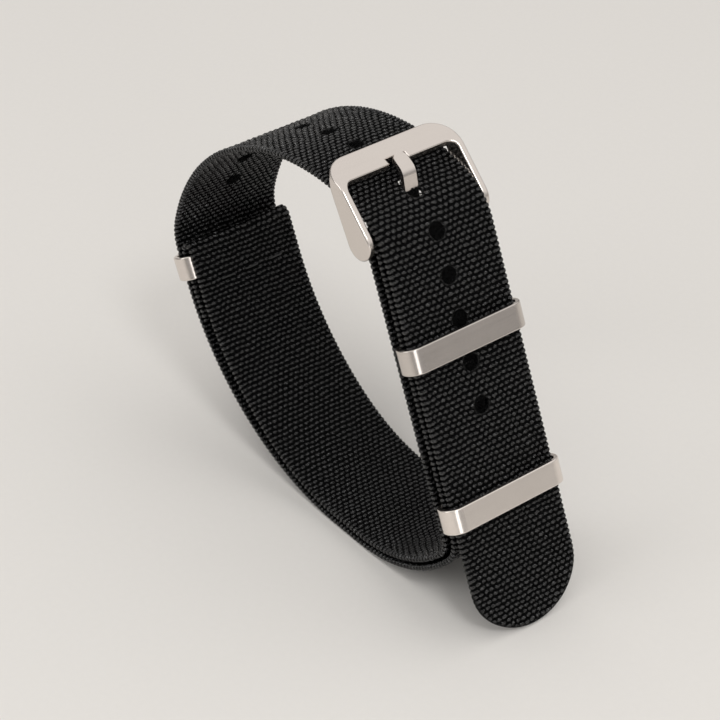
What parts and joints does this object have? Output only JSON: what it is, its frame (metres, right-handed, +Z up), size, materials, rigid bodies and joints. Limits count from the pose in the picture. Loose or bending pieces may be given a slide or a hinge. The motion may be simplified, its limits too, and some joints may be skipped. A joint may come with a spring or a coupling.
{
  "type": "nato watch strap",
  "caption": "Nylon webbing pass-through watch strap closed into its wearing loop, with a pin buckle on a spring bar, metal keeper rings and punched adjustment holes.",
  "frame": {"origin": "ground point under the middle of the closed loop, halfway across the strap", "axes": "+Z up from the surface the loop stands on, +X towards the side with the straight tail, +Y across the webbing, away from the pictured edge"},
  "size_m": [0.081, 0.023, 0.0675],
  "materials": {
    "webbing": "woven",
    "satin_steel": "satin",
    "bar_steel": "turned",
    "thread": "sewn"
  },
  "bodies": {
    "strap": {"long_strap": "webbing", "short_strap": "webbing", "buckle_fold_stitching": "thread", "upper_pocket_top_stitching": "thread", "upper_pocket_bottom_stitching": "thread", "lower_pocket_top_stitching": "thread", "lower_pocket_bottom_stitching": "thread", "end_fold_stitching": "thread"},
    "frame": {"buckle_frame": "satin_steel"},
    "tongue": {"buckle_tongue": "satin_steel"},
    "bar": {"spring_bar_tube": "bar_steel", "spring_bar_spring": "bar_steel"},
    "tip_near": {"spring_bar_tip_near": "bar_steel"},
    "tip_far": {"spring_bar_tip_far": "bar_steel"},
    "upper_ring": {"upper_keeper": "satin_steel"},
    "lower_ring": {"lower_keeper": "satin_steel"},
    "end_ring": {"end_keeper": "satin_steel"}
  },
  "joints": [
    {"name": "buckle_hinge", "type": "hinge", "parent": "strap", "child": "frame", "pos_m": [0.01056, 0, 0.05844], "axis": [0, 1, 0], "range_deg": [-4, 3]},
    {"name": "tongue_hinge", "type": "hinge", "parent": "frame", "child": "tongue", "pos_m": [0.01056, 0, 0.05844], "axis": [0, 1, 0], "range_deg": [0, 4]},
    {"name": "bar_spin", "type": "hinge", "parent": "strap", "child": "bar", "pos_m": [0.01056, 0, 0.05844], "axis": [0, 1, 0], "continuous": true},
    {"name": "near_tip_slide", "type": "slide", "parent": "bar", "child": "tip_near", "axis": [0, 1, 0], "range_m": [0, 0.001], "stiffness_N_per_m": 400},
    {"name": "far_tip_slide", "type": "slide", "parent": "bar", "child": "tip_far", "axis": [0, -1, 0], "range_m": [0, 0.001], "stiffness_N_per_m": 400},
    {"name": "upper_ring_slide", "type": "slide", "parent": "strap", "child": "upper_ring", "axis": [-0.4003, 0, 0.9164], "range_m": [-0.0015, 0.0015]},
    {"name": "lower_ring_slide", "type": "slide", "parent": "strap", "child": "lower_ring", "axis": [-0.4003, 0, 0.9164], "range_m": [-0.0003, 0.0015]},
    {"name": "end_ring_slide", "type": "slide", "parent": "strap", "child": "end_ring", "axis": [-0.4226, 0, 0.9063], "range_m": [-0.0005, 0.0005]}
  ]
}
